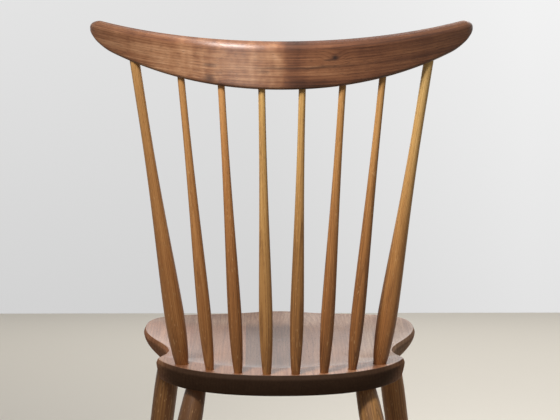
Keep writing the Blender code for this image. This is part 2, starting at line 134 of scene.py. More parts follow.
# Legs and the H stretcher
LEG_TENON = 30 * MM
LEG_SWELL = 37.3 * MM
LEG_SWELL_DOWN = 80 * MM
LEG_FOOT = 24 * MM
LEG_TAPER_POWER = 1.5
FRONT_LEG_INSET = 40 * MM
FRONT_LEG_SETBACK = 100 * MM
FRONT_SPLAY = math.radians(7.4)
FRONT_RAKE = math.radians(4)
REAR_LEG_INSET = 60 * MM
REAR_LEG_FORWARD = 79 * MM
REAR_SPLAY = math.radians(11.6)
REAR_RAKE = math.radians(15)
STRETCHER_HEIGHT = 165 * MM
STRETCHER_TENON = 14 * MM
STRETCHER_SWELL = 23 * MM
STRETCHER_NECK = 6 * MM
TENON_PROUD = 4 * MM
SOCKET_WEB = 3 * MM
OVERRUN = 15 * MM
TURNED_ROWS = 64
TURNED_SIDES = 48

# Turnings wander a little from true: how far, and over what length. Noise wanders about its mean.
WAVER_DEPTH = 0.12 * MM
WAVER_LENGTH = 45 * MM
WAVER_SEED = 11
NOISE_MEAN = 0.5

# How each turning's plank differs from the last: turned about its length, and cut from further along
PLANK_TURN = math.radians(77)
PLANK_STEP = 640 * MM
PITH_DISTANCE = 34 * MM

# Wood: each turning's own tone, below 0 dark and above it light, and hue, about 0 red and about 1 yellow.
# A spindle's change from its seat end to its crest end; its rise to lighter and yellower is painted light.
# Painted light: each spindle darker and redder at the seat, lighter and yellower at the crest.
SPINDLE_LOW_TONES_WITH_PAINTED_SHADE = (-0.8, -0.45, -0.83, -0.48, -0.88, -1.22, -1.28, -0.75)
SPINDLE_HIGH_TONES_WITH_PAINTED_LIGHT = (0.86, 0.37, 0.38, -0.17, -0.45, 0.1, 0.1, 0.95)
SPINDLE_LOW_HUES_WITH_PAINTED_SHADE = (-0.2, -0.2, -0.2, 0.15, 0.0, -0.25, -0.2, -0.2)
SPINDLE_HIGH_HUES_WITH_PAINTED_LIGHT = (0.33, 0.27, 0.14, 1.08, 1.1, 0.5, 0.5, 0.95)
LEG_TONES = {(True, 1): -1.5, (True, -1): -0.95, (False, 1): -1.8, (False, -1): -1.15}
LEG_HUES = {(True, 1): 0.35, (True, -1): 0.25, (False, 1): 0.4, (False, -1): 0.55}
STRETCHER_TONES = (-0.7, -0.9, -0.8)
STRETCHER_HUES = (0.4, 0.35, 0.5)

# Camera: behind the chair, a little above it, turned a little towards its left
CAMERA_TURN = math.radians(0.5)
CAMERA_REACH = 3.785
CAMERA_HEIGHT = 1.29383
CAMERA_CLIP = (0.1, 100)
FOCAL_PIXELS = 2650
HORIZON_RISE_PIXELS = 433
CAMERA_FALL = math.atan(HORIZON_RISE_PIXELS / FOCAL_PIXELS)
PHOTO_WIDTH_PIXELS = 560
CHAIR_MIDDLE_PIXEL = 281.3
SENSOR_WIDTH = 36

TAIL_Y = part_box("seat")[1].y - EDGE_BEVEL_OUT


# Curves that several pieces share


def arc_radius(half_width, bow):
    """The radius of an arc that comes forward by bow at half_width from its middle."""
    return (half_width**2 + bow**2) / (2 * bow)


def arc_rise(radius, across):
    return radius - math.sqrt(radius**2 - across**2)


def smooth_step(share):
    """An S curve from 0 to 1, held at both ends."""
    held = min(max(share, 0), 1)
    return held * held * (3 - 2 * held)


def blend(start, end, share):
    return start + (end - start) * share


def evenly(steps):
    """Shares from 0 to 1 in even steps, with both ends."""
    return [step / steps for step in range(steps + 1)]


def in_world(across, forward, height):
    return Vector((across, TAIL_Y - forward, height))


# Meshes and pieces


def loft(name, rows, wear_rows):
    """A closed skin over rings of points, each end closed flat, with how worn each point is."""
    form = bmesh.new()
    rings = [[form.verts.new(point) for point in row] for row in rows]
    count = len(rings[0])
    for near, far in zip(rings, rings[1:]):
        for i in range(count):
            after = (i + 1) % count
            form.faces.new((near[i], near[after], far[after], far[i]))
    form.faces.new(list(reversed(rings[0])))
    form.faces.new(rings[-1])
    bmesh.ops.recalc_face_normals(form, faces=form.faces)
    mesh = bpy.data.meshes.new(name)
    form.to_mesh(mesh)
    form.free()
    mesh.shade_smooth()
    keep_number(mesh, "wear", [wear for row in wear_rows for wear in row])
    return mesh


def keep_number(mesh, name, values):
    attribute = mesh.attributes.new(name, "FLOAT", "POINT")
    attribute.data.foreach_set("value", values)


def keep_grain(mesh, place_in_plank):
    """Keeps each vertex's place in its plank: two lengths across the grain, then one along it."""
    places = [place_in_plank(vertex.co) for vertex in mesh.vertices]
    attribute = mesh.attributes.new("grain", "FLOAT_VECTOR", "POINT")
    attribute.data.foreach_set("vector", [value for place in places for value in place])


def add_piece(mesh, node, slot, *finishes):
    """Shows a finished mesh in place of its node, riding on the chair's one body."""
    mesh.materials.clear()
    for finish in finishes:
        mesh.materials.append(finish)
    piece = bpy.data.objects.new(f"{node}_dressed", mesh)
    bpy.context.scene.collection.objects.link(piece)
    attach(piece, "root")
    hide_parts(node)


# Seat


def seat_half_outline():
    """The top edge's left half, as (across, forward), from the tail's middle to the front's."""
    tail_half = TAIL_WIDTH / 2
    widest_half = SEAT_WIDTH / 2
    widest_forward = SEAT_DEPTH - WIDEST_SETBACK
    into_corner = Vector((math.cos(TAIL_CORNER_ANGLE), math.sin(TAIL_CORNER_ANGLE)))
    out_of_corner = Vector((math.cos(WAIST_ENTRY_ANGLE), math.sin(WAIST_ENTRY_ANGLE)))
    corner = Vector((tail_half, TAIL_CORNER_FORWARD))
    before = corner - into_corner * TAIL_CORNER_EASE
    after = corner + out_of_corner * TAIL_CORNER_EASE
    tail = Vector((0, 0))
    waist = Vector((tail_half - WAIST_INSET, WAIST_FORWARD))
    widest = Vector((widest_half, widest_forward))
    front = Vector((0, SEAT_DEPTH))
    square_on = Vector((1, 0))
    ahead = Vector((0, 1))
    waist_run = WAIST_FORWARD - after.y
    lobe_run = widest_forward - WAIST_FORWARD
    runs = (
        (tail, square_on * tail_half, into_corner * before.y, before, TAIL_SWEEP_SHARES),
        (before, corner - before, after - corner, after, CORNER_SWEEP_SHARES),
        (after, out_of_corner * waist_run, ahead * waist_run, waist, WAIST_SWEEP_SHARES),
        (waist, ahead * lobe_run, ahead * lobe_run, widest, LOBE_SWEEP_SHARES),
        (widest, ahead * WIDEST_SETBACK, -square_on * widest_half, front, FRONT_SWEEP_SHARES),
    )
    outline = []
    for (start, leaving, arriving, end, shares), steps in zip(runs, OUTLINE_STEPS):
        leaving = start + leaving * shares[0]
        arriving = end - arriving * shares[1]
        outline += interpolate_bezier(start, leaving, arriving, end, steps + 1)[:-1]
    return outline + [front]


def seat_middle():
    """The place that the seat's rings are drawn in towards."""
    return Vector((0, (WAIST_FORWARD + SEAT_DEPTH - WIDEST_SETBACK) / 2))


def undercut_at(forward):
    """How far the underside's edge lies inside the top's."""
    widest_forward = SEAT_DEPTH - WIDEST_SETBACK
    to_side = smooth_step((forward - TAIL_CORNER_FORWARD) / (widest_forward - TAIL_CORNER_FORWARD))
    to_front = smooth_step((forward - widest_forward) / WIDEST_SETBACK)
    return blend(blend(TAIL_UNDERCUT, SIDE_UNDERCUT, to_side), FRONT_UNDERCUT, to_front)


def crease_share(edge):
    """Where the deck's crease crosses the line from the seat's middle to an edge point, as a share of it."""
    middle = seat_middle()
    offset = middle - Vector((0, CREASE_FORWARD + CREASE_RADIUS))
    along = edge - middle
    a = along.dot(along)
    b = along.dot(offset)
    c = offset.dot(offset) - CREASE_RADIUS**2
    return (-b + math.sqrt(b * b - a * c)) / a


def front_shape(across, forward):
    """The thigh hollows drop towards the front edge, and a pommel rises between them."""
    share = smooth_step((forward - SEAT_DEPTH + POMMEL_LENGTH) / POMMEL_LENGTH)
    pommel = math.exp(-((2 * across / POMMEL_WIDTH) ** 2))
    return share * (POMMEL_RISE * pommel - FRONT_DROP * (1 - pommel))


def dish_at(place, ring_share):
    """The dish's depth: it falls away at the deck's crease and dies out towards the seat's edge."""
    centre = Vector((0, CREASE_FORWARD + CREASE_RADIUS))
    share = min(max((CREASE_RADIUS - (place - centre).length) / DISH_RUN, 0), 1)
    return DISH_DEPTH * (1 - (1 - share) ** DISH_POWER) * (1 - ring_share**RIM_POWER)


def top_height(place, ring_share):
    return SEAT_HEIGHT + front_shape(*place) - dish_at(place, ring_share)


def eased_corner(before, corner, after, reach):
    """Points that round off one corner of a profile, starting and ending at a reach from it."""
    start = corner + (before - corner).normalized() * reach
    end = corner + (after - corner).normalized() * reach
    shares = evenly(CORNER_STEPS)
    return [blend(blend(start, corner, share), blend(corner, end, share), share) for share in shares]


def edge_profile(undercut, thickness):
    """The seat's edge in section as (inset, height above the top edge), from under the seat to the deck."""
    fall = thickness - EDGE_BEVEL_DOWN
    side = []
    for share in evenly(SIDE_ROWS):
        inset = undercut * (1 - share) ** 2 - EDGE_BEVEL_OUT * share
        side.append(Vector((inset, fall * share - thickness)))
    under = Vector((undercut + UNDER_MARGIN, -thickness))
    top = Vector((0, 0))
    deck = Vector((DECK_MARGIN, 0))
    profile = [under]
    profile += eased_corner(under, side[0], side[1], UNDER_EASE)
    profile += side[2:-1]
    profile += eased_corner(side[-2], side[-1], top, ARRIS_EASE)
    profile += eased_corner(side[-1], top, deck, ARRIS_EASE)
    return profile


def profile_wear():
    """How rubbed each point of the edge's section is: the two arrises most."""
    arris = [1] * (CORNER_STEPS + 1)
    return [0] + [UNDER_WEAR] * (CORNER_STEPS + 1) + [0] * (SIDE_ROWS - 2) + arris + arris


def seat_rows():
    """Rings of points over the whole seat, from under its edge up and in to the middle of its dish."""
    half = seat_half_outline()
    edge = half + [Vector((-point.x, point.y)) for point in reversed(half[1:-1])]
    middle = seat_middle()
    columns = []
    for point in edge:
        run = (point - middle).length
        top = top_height(point, 1)
        rim = min(crease_share(point), RIM_SHARE)
        column = []
        for inset, height in edge_profile(undercut_at(point.y), top - SEAT_HEIGHT + SEAT_THICKNESS):
            place = middle + (point - middle) * (1 - inset / run)
            column.append(in_world(*place, top + height))
        rings = [blend(1 - DECK_MARGIN / run, rim, share) for share in evenly(DECK_ROWS)]
        rings += [rim * (1 - share**DISH_ROW_POWER) for share in evenly(DISH_ROWS)[1:-1]]
        for ring_share in rings:
            place = middle + (point - middle) * ring_share
            column.append(in_world(*place, top_height(place, ring_share)))
        columns.append(column)
    return list(zip(*columns))


def add_seat(top_finish, edge_finish):
    rows = seat_rows()
    wear = profile_wear()
    wear += [0] * (len(rows) - len(wear))
    mesh = loft("seat_dressed", rows, [[value] * len(rows[0]) for value in wear])
    keep_grain(mesh, lambda place: (place.x, place.z, TAIL_Y - place.y))
    add_piece(mesh, "seat", "walnut", top_finish, edge_finish)
    for face in mesh.polygons:
        if face.normal.z < EDGE_FACING:
            face.material_index = 1


# Crest rail


def crest_frame():
    """The crest's own frame: origin under its middle, Z up along the lean, -Y forward."""
    foot = in_world(0, SPINDLE_EDGE_INSET, SEAT_HEIGHT)
    up = Vector((0, math.sin(LEAN), math.cos(LEAN)))
    return Matrix.Translation(foot + up * SPINDLE_LENGTH) @ Matrix.Rotation(-LEAN, 4, "X")


def crest_height_at(across):
    return blend(CREST_HEIGHT, CREST_TIP_HEIGHT, abs(2 * across / CREST_WIDTH) ** CREST_SWEEP_POWER)


def crest_point(across, height):
    """A place on the crest's middle surface, in the crest's own frame."""
    radius = arc_radius(CREST_WIDTH / 2, CREST_BOW)
    return Vector((across, -arc_rise(radius, across), height))


def quarter_rounding(share):
    """How far a quarter ellipse has fallen at a share of its run."""
    return 1 - math.sqrt(max(1 - share * share, 0))


def crest_section(across):
    """One rounded section of the crest, square to its arc, in the crest's own frame."""
    half_width = CREST_WIDTH / 2
    left = half_width - abs(across)
    fall = quarter_rounding(max(1 - left / CREST_TIP_ROUND_LENGTH, 0))
    sweep = quarter_rounding(max(1 - left / CREST_TIP_SWEEP_LENGTH, 0))
    low = CREST_HEIGHT - crest_height_at(across)
    top = CREST_HEIGHT - fall * CREST_TIP_TOP_ROUND - CREST_DRAWN_IN * (1 - fall)
    bottom = blend(low, CREST_HEIGHT - CREST_TIP_TOP_ROUND, sweep)
    thickness = blend(CREST_THICKNESS, CREST_TIP_THICKNESS, (across / half_width) ** 2) - 2 * CREST_DRAWN_IN
    thickness *= 1 - fall
    rounding = min(CREST_EDGE_ROUND, thickness / 2, (top - bottom) / 2)
    turn = math.asin(across / arc_radius(half_width, CREST_BOW))
    outward = Vector((math.sin(turn), math.cos(turn), 0))
    middle = crest_point(across, (top + bottom) / 2)
    flat_through = thickness / 2 - rounding
    flat_up = (top - bottom) / 2 - rounding
    section = []
    for quarter in range(4):
        side = 1 if quarter in (0, 3) else -1
        level = 1 if quarter in (0, 1) else -1
        for share in evenly(CREST_CORNER_STEPS):
            angle = math.pi / 2 * (quarter + share)
            through = side * flat_through + rounding * math.cos(angle)
            section.append((through, level * flat_up + rounding * math.sin(angle)))
        if quarter in (0, 2):
            continue
        for share in CREST_FLAT_SHARES:
            section.append((side * (flat_through + rounding), level * flat_up * (1 - 2 * share)))
    return [middle + outward * through + Vector((0, 0, height)) for through, height in section]


def crest_wear():
    """How rubbed each point of a crest section is: its four rounded edges."""
    corner = [math.sin(math.pi * share) for share in evenly(CREST_CORNER_STEPS)]
    side = corner + corner + [0] * len(CREST_FLAT_SHARES)
    return side + side


def crest_stations():
    """Where the crest's sections stand: evenly along its body, closer and closer into each rounded tip."""
    body_half = CREST_WIDTH / 2 - CREST_TIP_ROUND_LENGTH
    tip_length = CREST_TIP_ROUND_LENGTH - CREST_DRAWN_IN
    body = [blend(-body_half, body_half, share) for share in evenly(CREST_BODY_STEPS)]
    shares = evenly(CREST_TIP_STEPS)[1:-1]
    tip = [body_half + tip_length * math.sin(math.pi / 2 * share) for share in shares]
    return [-place for place in reversed(tip)] + body + tip


def add_crest(material):
    stations = crest_stations()
    to_world = crest_frame()
    rows = [[to_world @ point for point in crest_section(across)] for across in stations]
    mesh = loft("crest_rail_dressed", rows, [crest_wear() for _ in stations])
    to_crest = to_world.inverted()
    radius = arc_radius(CREST_WIDTH / 2, CREST_BOW)

    def place_in_rail(place):
        local = to_crest @ place
        turn = math.atan2(local.x, local.y + radius)
        through = math.hypot(local.x, local.y + radius) - radius
        return (local.z, through, radius * turn)

    keep_grain(mesh, place_in_rail)
    add_piece(mesh, "crest_rail", "walnut", material)


# Node trees


class Nodes:
    """One node tree under way: short ways to add its nodes and join them up."""

    def __init__(self, tree):
        self.tree = tree

    def add(self, kind, inputs, output=0, **settings):
        """Adds a node, links or sets its inputs by name or number, and returns one of its outputs."""
        node = self.tree.nodes.new(kind)
        for name, value in settings.items():
            setattr(node, name, value)
        for key, value in inputs.items():
            if isinstance(value, bpy.types.NodeSocket):
                self.tree.links.new(value, node.inputs[key])
            else:
                node.inputs[key].default_value = value
        return node.outputs[output] if node.outputs else None

    def calc(self, operation, *values):
        return self.add("ShaderNodeMath", dict(enumerate(values)), operation=operation)

    def vector(self, operation, *values, output=0):
        return self.add("ShaderNodeVectorMath", dict(enumerate(values)), output, operation=operation)

    def length(self, vector):
        return self.vector("LENGTH", vector, output="Value")

    def part(self, vector, axis):
        return self.add("ShaderNodeSeparateXYZ", {0: vector}, axis)

    def noise(self, vector, per_metre, detail=2.0, roughness=0.5, output=0):
        """Noise with so many features in a metre along each axis."""
        scaled = self.vector("MULTIPLY", vector, per_metre)
        inputs = {"Vector": scaled, "Scale": 1.0, "Detail": detail, "Roughness": roughness}
        return self.add("ShaderNodeTexNoise", inputs, output)

    def ranged(self, value, low, high, to_low=0.0, to_high=1.0, smooth=False):
        kind = "SMOOTHSTEP" if smooth else "LINEAR"
        inputs = {"Value": value, "From Min": low, "From Max": high, "To Min": to_low, "To Max": to_high}
        return self.add("ShaderNodeMapRange", inputs, interpolation_type=kind)

    def fade(self, value, start, end):
        """From 1 up to a start down to 0 at an end, with no corner."""
        return self.ranged(value, start, end, 1.0, 0.0, smooth=True)

    def ramp(self, value, stops):
        """Colours or greys at shares of a value's range."""
        output = self.add("ShaderNodeValToRGB", {0: value})
        elements = output.node.color_ramp.elements
        midway = 0.5
        for _ in stops[2:]:
            elements.new(midway)
        for element, (place, colour) in zip(elements, stops):
            element.position = place
            element.color = (*colour, 1) if isinstance(colour, tuple) else (colour, colour, colour, 1)
        return output

    def mix(self, share, first, second):
        """One colour turned towards another by a share."""
        first, second = ((*value, 1) if isinstance(value, tuple) else value for value in (first, second))
        return self.add("ShaderNodeMix", {0: share, 6: first, 7: second}, 2, data_type="RGBA")

    def stain(self, colour, where, strength, other):
        """A colour with another laid over it where a value from 0 to 1 says."""
        return self.mix(self.calc("MULTIPLY", where, strength), colour, other)


# Turned pieces: a line of points with a radius at each, swept round by one node tree

TURNING_INPUTS = {
    "Geometry": "Geometry",
    "Sides": "Int",
    "Waver Depth": "Float",
    "Waver Length": "Float",
    "Seed": "Float",
    "Wood": "Material",
}


def turning_tree():
    """Sweeps a circle along the line, as wide at each point as the radius kept there, with a slight waver."""
    tree = bpy.data.node_groups.new("turning", "GeometryNodeTree")
    for name, kind in TURNING_INPUTS.items():
        tree.interface.new_socket(name, in_out="INPUT", socket_type=f"NodeSocket{kind}")
    tree.interface.new_socket("Geometry", in_out="OUTPUT", socket_type="NodeSocketGeometry")
    sweep = Nodes(tree)
    given = tree.nodes.new("NodeGroupInput").outputs
    line = sweep.add("GeometryNodeMeshToCurve", {"Mesh": given["Geometry"]})
    kept = sweep.add("GeometryNodeInputNamedAttribute", {"Name": "turned_radius"}, "Attribute")
    run = sweep.add("GeometryNodeSplineParameter", {}, "Length")
    waves = sweep.calc("DIVIDE", run, given["Waver Length"])
    place = sweep.add("ShaderNodeCombineXYZ", {0: waves, 1: given["Seed"]})
    noise = sweep.add("ShaderNodeTexNoise", {"Vector": place}, noise_dimensions="2D")
    waver = sweep.calc("MULTIPLY", sweep.calc("SUBTRACT", noise, NOISE_MEAN), given["Waver Depth"])
    radius = sweep.calc("ADD", kept, waver)
    unit_circle = {"Resolution": given["Sides"], "Radius": 1.0}
    circle = sweep.add("GeometryNodeCurvePrimitiveCircle", unit_circle)
    swept = {"Curve": line, "Profile Curve": circle, "Scale": radius, "Fill Caps": True}
    skin = sweep.add("GeometryNodeCurveToMesh", swept)
    skin = sweep.add("GeometryNodeSetShadeSmooth", {"Geometry": skin})
    real = sweep.add("GeometryNodeRealizeInstances", {"Geometry": skin})
    dressed = sweep.add("GeometryNodeSetMaterial", {"Geometry": real, "Material": given["Wood"]})
    sweep.add("NodeGroupOutput", {"Geometry": dressed})
    return tree


def swept_mesh(name, start, end, rows, seed, tree, wood):
    """Runs the turning tree on one line. Each row is (distance from the start, diameter)."""
    along = (end - start).normalized()
    mesh = bpy.data.meshes.new(name)
    edges = [(i, i + 1) for i in range(len(rows) - 1)]
    mesh.from_pydata([start + along * distance for distance, _ in rows], edges, [])
    keep_number(mesh, "turned_radius", [diameter / 2 for _, diameter in rows])
    line = bpy.data.objects.new(name, mesh)
    bpy.context.scene.collection.objects.link(line)
    modifier = line.modifiers.new("Turning", "NODES")
    modifier.node_group = tree
    given = {
        "Sides": TURNED_SIDES,
        "Waver Depth": WAVER_DEPTH,
        "Waver Length": WAVER_LENGTH,
        "Seed": float(WAVER_SEED + seed),
        "Wood": wood,
    }
    for item in tree.interface.items_tree:
        if item.in_out == "INPUT" and item.name in given:
            modifier[item.identifier] = given[item.name]
    bpy.context.view_layer.update()
    view = bpy.context.evaluated_depsgraph_get()
    turned = bpy.data.meshes.new_from_object(line.evaluated_get(view), depsgraph=view)
    bpy.data.objects.remove(line, do_unlink=True)
    turned.name = name
    return turned


def trim_level(mesh):
    """Cuts a leg off level at the floor and closes the cut."""
    form = bmesh.new()
    form.from_mesh(mesh)
    everything = form.verts[:] + form.edges[:] + form.faces[:]
    floor = {"plane_co": (0, 0, 0), "plane_no": (0, 0, 1)}
    cut = bmesh.ops.bisect_plane(form, geom=everything, clear_inner=True, **floor)
    rim = [item for item in cut["geom_cut"] if isinstance(item, bmesh.types.BMEdge)]
    bmesh.ops.holes_fill(form, edges=rim)
    bmesh.ops.recalc_face_normals(form, faces=form.faces)
    form.to_mesh(mesh)
    form.free()


def add_turned(node, start, end, rows, seed, tones, hues, tree, wood, stands=False):
    """One turned piece, with its place in the plank, and its tone and hue from end to end, for its wood."""
    mesh = swept_mesh(f"{node}_dressed", start, end, rows, seed, tree, wood)
    if stands:
        trim_level(mesh)
    along = (end - start).normalized()
    across = along.cross(Vector((0, 1, 0))).normalized()
    turn = Matrix.Rotation(seed * PLANK_TURN, 3, along)
    across = turn @ across
    through = along.cross(across)
    pith = Vector((PITH_DISTANCE, 0, seed * PLANK_STEP))

    def place_in_plank(place):
        offset = place - start
        return Vector((offset.dot(across), offset.dot(through), offset.dot(along))) + pith

    keep_grain(mesh, place_in_plank)
    shares = [(vertex.co - start).dot(along) / (end - start).length for vertex in mesh.vertices]
    keep_number(mesh, "tone", [blend(*tones, share) for share in shares])
    keep_number(mesh, "hue", [blend(*hues, share) for share in shares])
    add_piece(mesh, node, "oak", wood)


def swelled_diameter(up, length, turning):
    """A spindle's diameter at a height above the seat: it swells low down and slims to a straight neck."""
    if up < turning["swell_up"]:
        share = (1 - max(up, 0) / turning["swell_up"]) ** 2
        return blend(turning["swell"], turning["base"], share)
    run = length - turning["neck"] - turning["swell_up"]
    share = min((up - turning["swell_up"]) / run, 1) ** SWELL_POWER
    return blend(turning["swell"], turning["top"], (1 - math.cos(math.pi * share)) / 2)


def spindle_places():
    """Each spindle's place across the chair, on the seat and on the crest, left to right."""
    outer_base = TAIL_WIDTH / 2 - SPINDLE_SIDE_INSET
    outer_top = CREST_WIDTH / 2 - CREST_OVERHANG
    inner_top = outer_top - OUTER_TOP_GAP
    middle = (SPINDLE_COUNT - 1) / 2
    places = []
    for i in range(SPINDLE_COUNT):
        offset = middle - i
        outer = abs(offset) == middle
        base = outer_base * offset / middle
        top = math.copysign(outer_top, offset) if outer else inner_top * offset / (middle - 1)
        places.append((base, top, outer))
    return places


def add_spindles(tree, wood):
    base_radius = arc_radius(TAIL_WIDTH / 2 - SPINDLE_SIDE_INSET, SPINDLE_BASE_BOW)
    seat_depth = (SEAT_THICKNESS - SOCKET_WEB) / 2
    for i, (base, top, outer) in enumerate(spindle_places()):
        turning = OUTER_SPINDLE if outer else INNER_SPINDLE
        foot = in_world(base, SPINDLE_EDGE_INSET + arc_rise(base_radius, base), SEAT_HEIGHT)
        entry = crest_frame() @ crest_point(top, CREST_HEIGHT - crest_height_at(top))
        along = (entry - foot).normalized()
        length = (entry - foot).length
        start = foot - along * seat_depth
        end = entry + along * CREST_SOCKET_DEPTH
        rows = [(0, turning["base"]), (seat_depth + TENON_PROUD, turning["base"])]
        for share in evenly(TURNED_ROWS)[1:]:
            up = blend(TENON_PROUD, length - TENON_PROUD, share)
            rows.append((seat_depth + up, swelled_diameter(up, length, turning)))
        rows.append((seat_depth + length + CREST_SOCKET_DEPTH, turning["top"]))
        # Painted light: the tone and hue rise from the seat end to the crest end.
        tones = (SPINDLE_LOW_TONES_WITH_PAINTED_SHADE[i], SPINDLE_HIGH_TONES_WITH_PAINTED_LIGHT[i])
        hues = (SPINDLE_LOW_HUES_WITH_PAINTED_SHADE[i], SPINDLE_HIGH_HUES_WITH_PAINTED_LIGHT[i])
        add_turned(f"back_spindle_{i + 1}", start, end, rows, i, tones, hues, tree, wood)


def leg_diameter(down):
    """A leg's diameter at a distance below the seat: it swells from the tenon, then tapers to the foot."""
    if down < LEG_SWELL_DOWN:
        return blend(LEG_SWELL, LEG_TENON, (1 - max(down, 0) / LEG_SWELL_DOWN) ** 2)
    run = SEAT_HEIGHT - SEAT_THICKNESS - LEG_SWELL_DOWN
    share = min((down - LEG_SWELL_DOWN) / run, 1)
    return blend(LEG_SWELL, LEG_FOOT, share**LEG_TAPER_POWER)


def leg_axis(front, side):
    """A leg's place under the seat and its direction downwards, scaled to fall 1 for each 1 along it."""
    if front:
        across = SEAT_WIDTH / 2 - FRONT_LEG_INSET
        forward = SEAT_DEPTH - FRONT_LEG_SETBACK
        slope = (math.tan(FRONT_SPLAY), math.tan(FRONT_RAKE))
    else:
        across = TAIL_WIDTH / 2 - REAR_LEG_INSET
        forward = REAR_LEG_FORWARD
        slope = (math.tan(REAR_SPLAY), -math.tan(REAR_RAKE))
    top = in_world(side * across, forward, SEAT_HEIGHT - SEAT_THICKNESS)
    return top, Vector((side * slope[0], -slope[1], -1))


def add_leg(node, front, side, seed, tree, wood):
    top, fall = leg_axis(front, side)
    down = fall.normalized()
    tenon = (SEAT_THICKNESS - SOCKET_WEB) / 2
    length = top.z * fall.length
    start = top + down * (length + OVERRUN)
    end = top - down * tenon
    rows = [(0, LEG_FOOT)]
    for share in evenly(TURNED_ROWS)[:-1]:
        below = blend(length, 0, share)
        rows.append((OVERRUN + length - below, leg_diameter(below - TENON_PROUD)))
    rows.append((OVERRUN + length - TENON_PROUD, LEG_TENON))
    rows.append((OVERRUN + length + tenon, LEG_TENON))
    tone = LEG_TONES[front, side]
    hue = LEG_HUES[front, side]
    add_turned(node, start, end, rows, seed, (tone, tone), (hue, hue), tree, wood, stands=True)


def leg_point(front, side, height):
    """Where a leg's axis stands at a height above the floor, and the leg's diameter there."""
    top, fall = leg_axis(front, side)
    drop = top.z - height
    return top + fall * drop, leg_diameter(drop * fall.length - TENON_PROUD)


def stretcher_rows(length, necks):
    """A stretcher's outline: it swells between two straight necks."""
    rows = [(0, STRETCHER_TENON)]
    for share in evenly(TURNED_ROWS):
        diameter = blend(STRETCHER_TENON, STRETCHER_SWELL, math.sin(math.pi * share))
        rows.append((necks[0] + (length - sum(necks)) * share, diameter))
    return rows + [(length, STRETCHER_TENON)]


def add_stretchers(tree, wood):
    runs = []
    for side, hand in ((1, "left"), (-1, "right")):
        front, front_diameter = leg_point(True, side, STRETCHER_HEIGHT)
        rear, rear_diameter = leg_point(False, side, STRETCHER_HEIGHT)
        necks = (front_diameter / 2 + STRETCHER_NECK, rear_diameter / 2 + STRETCHER_NECK)
        runs.append((f"stretcher_{hand}", front, rear, necks))
    left = (runs[0][1] + runs[0][2]) / 2
    right = (runs[1][1] + runs[1][2]) / 2
    neck = STRETCHER_SWELL / 2 + STRETCHER_NECK
    runs.append(("stretcher_cross", left, right, (neck, neck)))
    for i, (node, start, end, necks) in enumerate(runs):
        rows = stretcher_rows((end - start).length, necks)
        seed = SPINDLE_COUNT + len(LEG_TONES) + i
        tone = STRETCHER_TONES[i]
        hue = STRETCHER_HUES[i]
        add_turned(node, start, end, rows, seed, (tone, tone), (hue, hue), tree, wood)


# Wood finishes

# A layer of figure is (features per metre across the grain, features along it, detail, roughness), and
# the last two may be left out. Its weight is how much it adds to the wood's lightness.
WALNUT_LAYERS = {
    "streaks": (230, 6, 3.0, 0.6),
    "fibres": (1300, 30),
    "zones": (38, 1.6, 1.0),
    "pores": (1500, 120, 1.0),
}
WALNUT_WEIGHTS = {"ring": 0.3, "streaks": 1.1, "fibres": 0.5, "zones": 0.5}
WALNUT_BASE_LIGHT = -1.21
WALNUT_FIBRE_RIDGE = 0.5
WALNUT_PORE_RANGE = (0.58, 0.7)
WALNUT_PORE_STRENGTH = 0.5
WALNUT_PORE_ROUGHNESS = 0.1

# Walnut's colours and how they change over a ring and over its lightness, as (share, colour)
WALNUT_RING_SHARES = ((0.0, 0.75), (0.55, 0.6), (0.86, 0.15), (0.95, 0.05), (1.0, 0.7))
WALNUT_COLOUR_SHARES = (
    (0.0, (0.030, 0.011, 0.006)),
    (0.3, (0.098, 0.036, 0.017)),
    (0.55, (0.178, 0.073, 0.033)),
    (0.8, (0.290, 0.145, 0.073)),
    (1.0, (0.400, 0.220, 0.125)),
)
WALNUT_PORE = (0.035, 0.015, 0.009)
WALNUT_KNOT = (0.020, 0.010, 0.008)
# End grain's colour; at the tail it also stands in for shade, as painted shade.
WALNUT_END_GRAIN_AND_SHADE = (0.019, 0.011, 0.007)
WALNUT_RUBBED = (0.300, 0.180, 0.115)

# The crest's plank: where its pith lies, its rings, its dark streak and its figure. Waves are features
# per metre: up the rail, through it and along it.
CREST_PITH = (150 * MM, 24 * MM, 310 * MM)
CREST_RING_WIDTH = 4.2 * MM
CREST_RING_SWAY = 9 * MM
CREST_RING_WAVES = (16, 16, 3.2)
CREST_STREAK_HEIGHT = 39 * MM
CREST_STREAK_WIDTH = 4 * MM
CREST_STREAK_SWAY = 9 * MM
CREST_STREAK_WAVES = (20, 0, 26)
CREST_STREAK_STRENGTH = 0.7
CREST_CURL_WAVES = (34, 34, 62)
CREST_CURL_ROUGHNESS = 0.55
CREST_FIGURE = 0.7

# The crest's tone from right tip to left tip, as (share, value), lighter on its left length partly as a
# painted sheen, and the two bands of painted shade that darken it: one between two depths below its top edge,
# and one between two heights above its lowest point
CREST_TONE_REACH = 300 * MM
CREST_TONE_WANDER = 14 * MM
CREST_TONE_WAVES = (90, 0, 20)
# Lighter along the left length: partly the wood's tone, partly a painted sheen.
CREST_TONE_AND_SHEEN_SHARES = (
    (0.0, 0.42),
    (0.15, 0.44),
    (0.23, 0.46),
    (0.33, 0.43),
    (0.42, 0.58),
    (0.45, 0.56),
    (0.48, 0.36),
    (0.498, 0.4),
    (0.514, 0.72),
    (0.54, 0.77),
    (0.6, 0.72),
    (0.69, 0.72),
    (0.78, 0.74),
    (0.86, 0.57),
)
# Painted shade: a band under the crest's top edge is darkened.
CREST_TOP_PAINTED_SHADE_SHARES = ((0.04, 0.0), (0.2, 0.19), (0.8, 0.19), (0.96, 0.0))
CREST_TOP_PAINTED_SHADE_FROM = 17 * MM
CREST_TOP_PAINTED_SHADE_TO = 5 * MM
